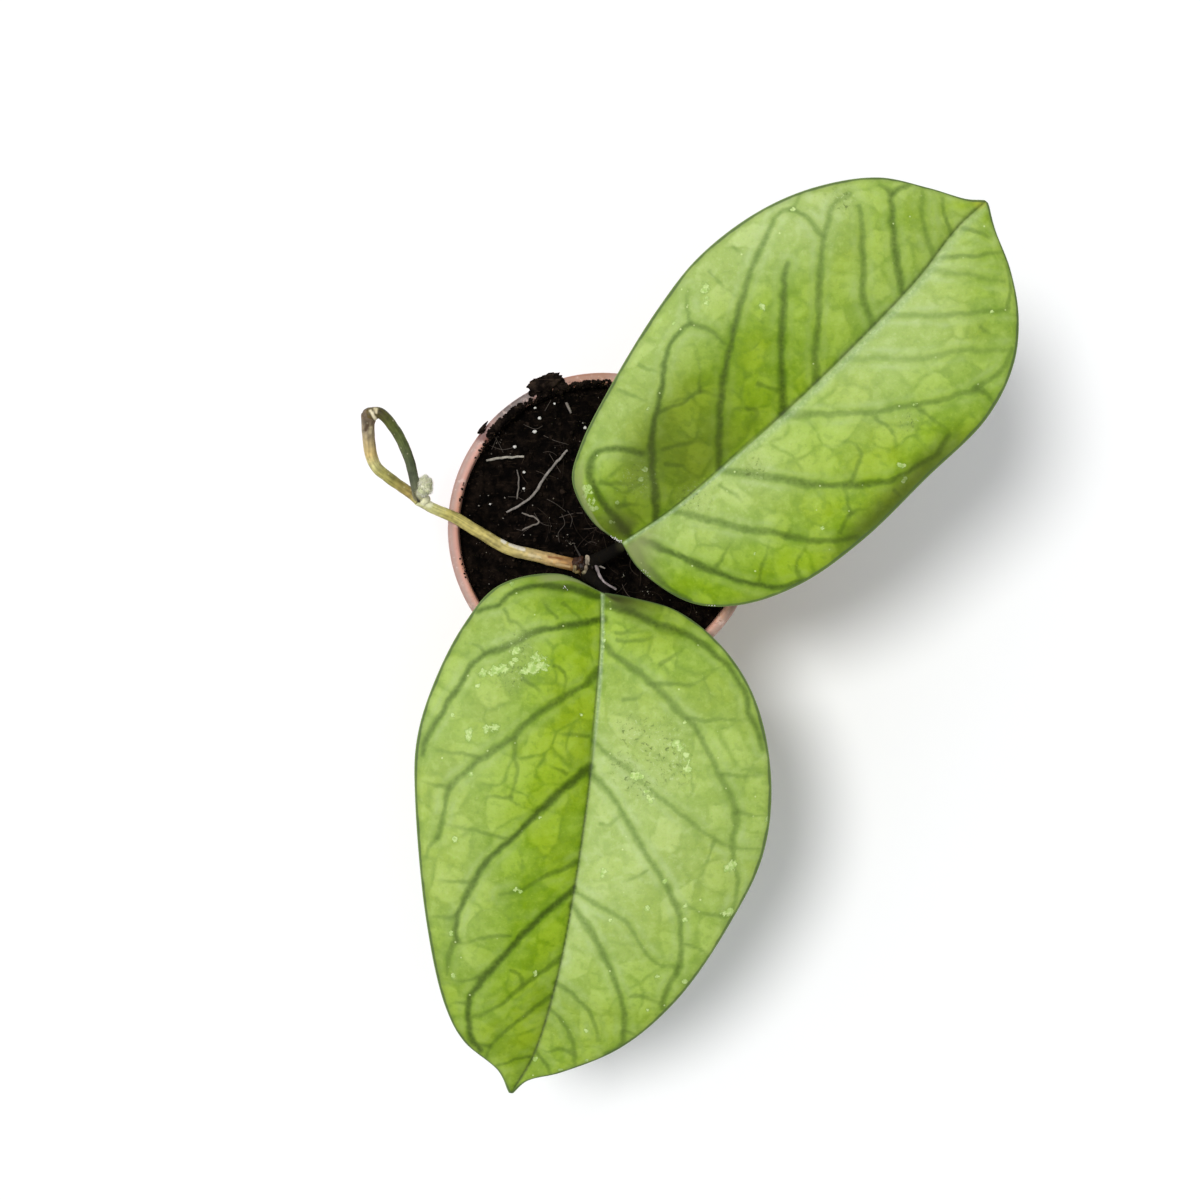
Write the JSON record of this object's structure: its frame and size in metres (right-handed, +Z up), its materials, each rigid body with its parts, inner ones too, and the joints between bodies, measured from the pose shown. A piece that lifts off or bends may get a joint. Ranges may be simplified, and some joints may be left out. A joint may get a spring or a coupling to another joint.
{
  "type": "potted climbing plant cutting",
  "caption": "Young climbing plant with a pair of large dark-veined oval leaves and a curling shoot, rooted in a small round plastic nursery pot.",
  "frame": {"origin": "centre of the pot's flat underside, on the surface that it stands on", "axes": "+Z up along the pot's axis; the lower leaf points to -Y, the upper leaf to +X +Y, the trailing shoot to -X"},
  "size_m": [0.1607, 0.2294, 0.1098],
  "materials": {
    "pot": "terracotta-coloured moulded polypropylene, satin, with a slightly glossier lip",
    "soil": "moist dark peat with brown fibres",
    "leaf": "fleshy waxy leaf, bright green between dark green veins, satin sheen",
    "stem": "olive-yellow stem, brown at the soil and dark green near its tip",
    "young_growth": "pale cream-green downy growing tip",
    "dry_root": "dry grey-beige root ends, dull",
    "perlite": "chalky white grains"
  },
  "bodies": {
    "root": {"pot": "pot", "soil": "soil", "vine": "stem", "leaf_upper": "leaf", "leaf_lower": "leaf", "growing_tip": "young_growth", "dry_root_1": "dry_root", "dry_root_2": "dry_root", "dry_root_3": "dry_root", "dry_root_4": "dry_root", "dry_root_5": "dry_root", "perlite_1": "perlite", "perlite_2": "perlite", "perlite_3": "perlite", "perlite_4": "perlite", "perlite_5": "perlite", "perlite_6": "perlite", "perlite_7": "perlite", "perlite_8": "perlite", "perlite_9": "perlite", "soil_lump_1": "soil", "soil_lump_2": "soil"}
  },
  "joints": []
}
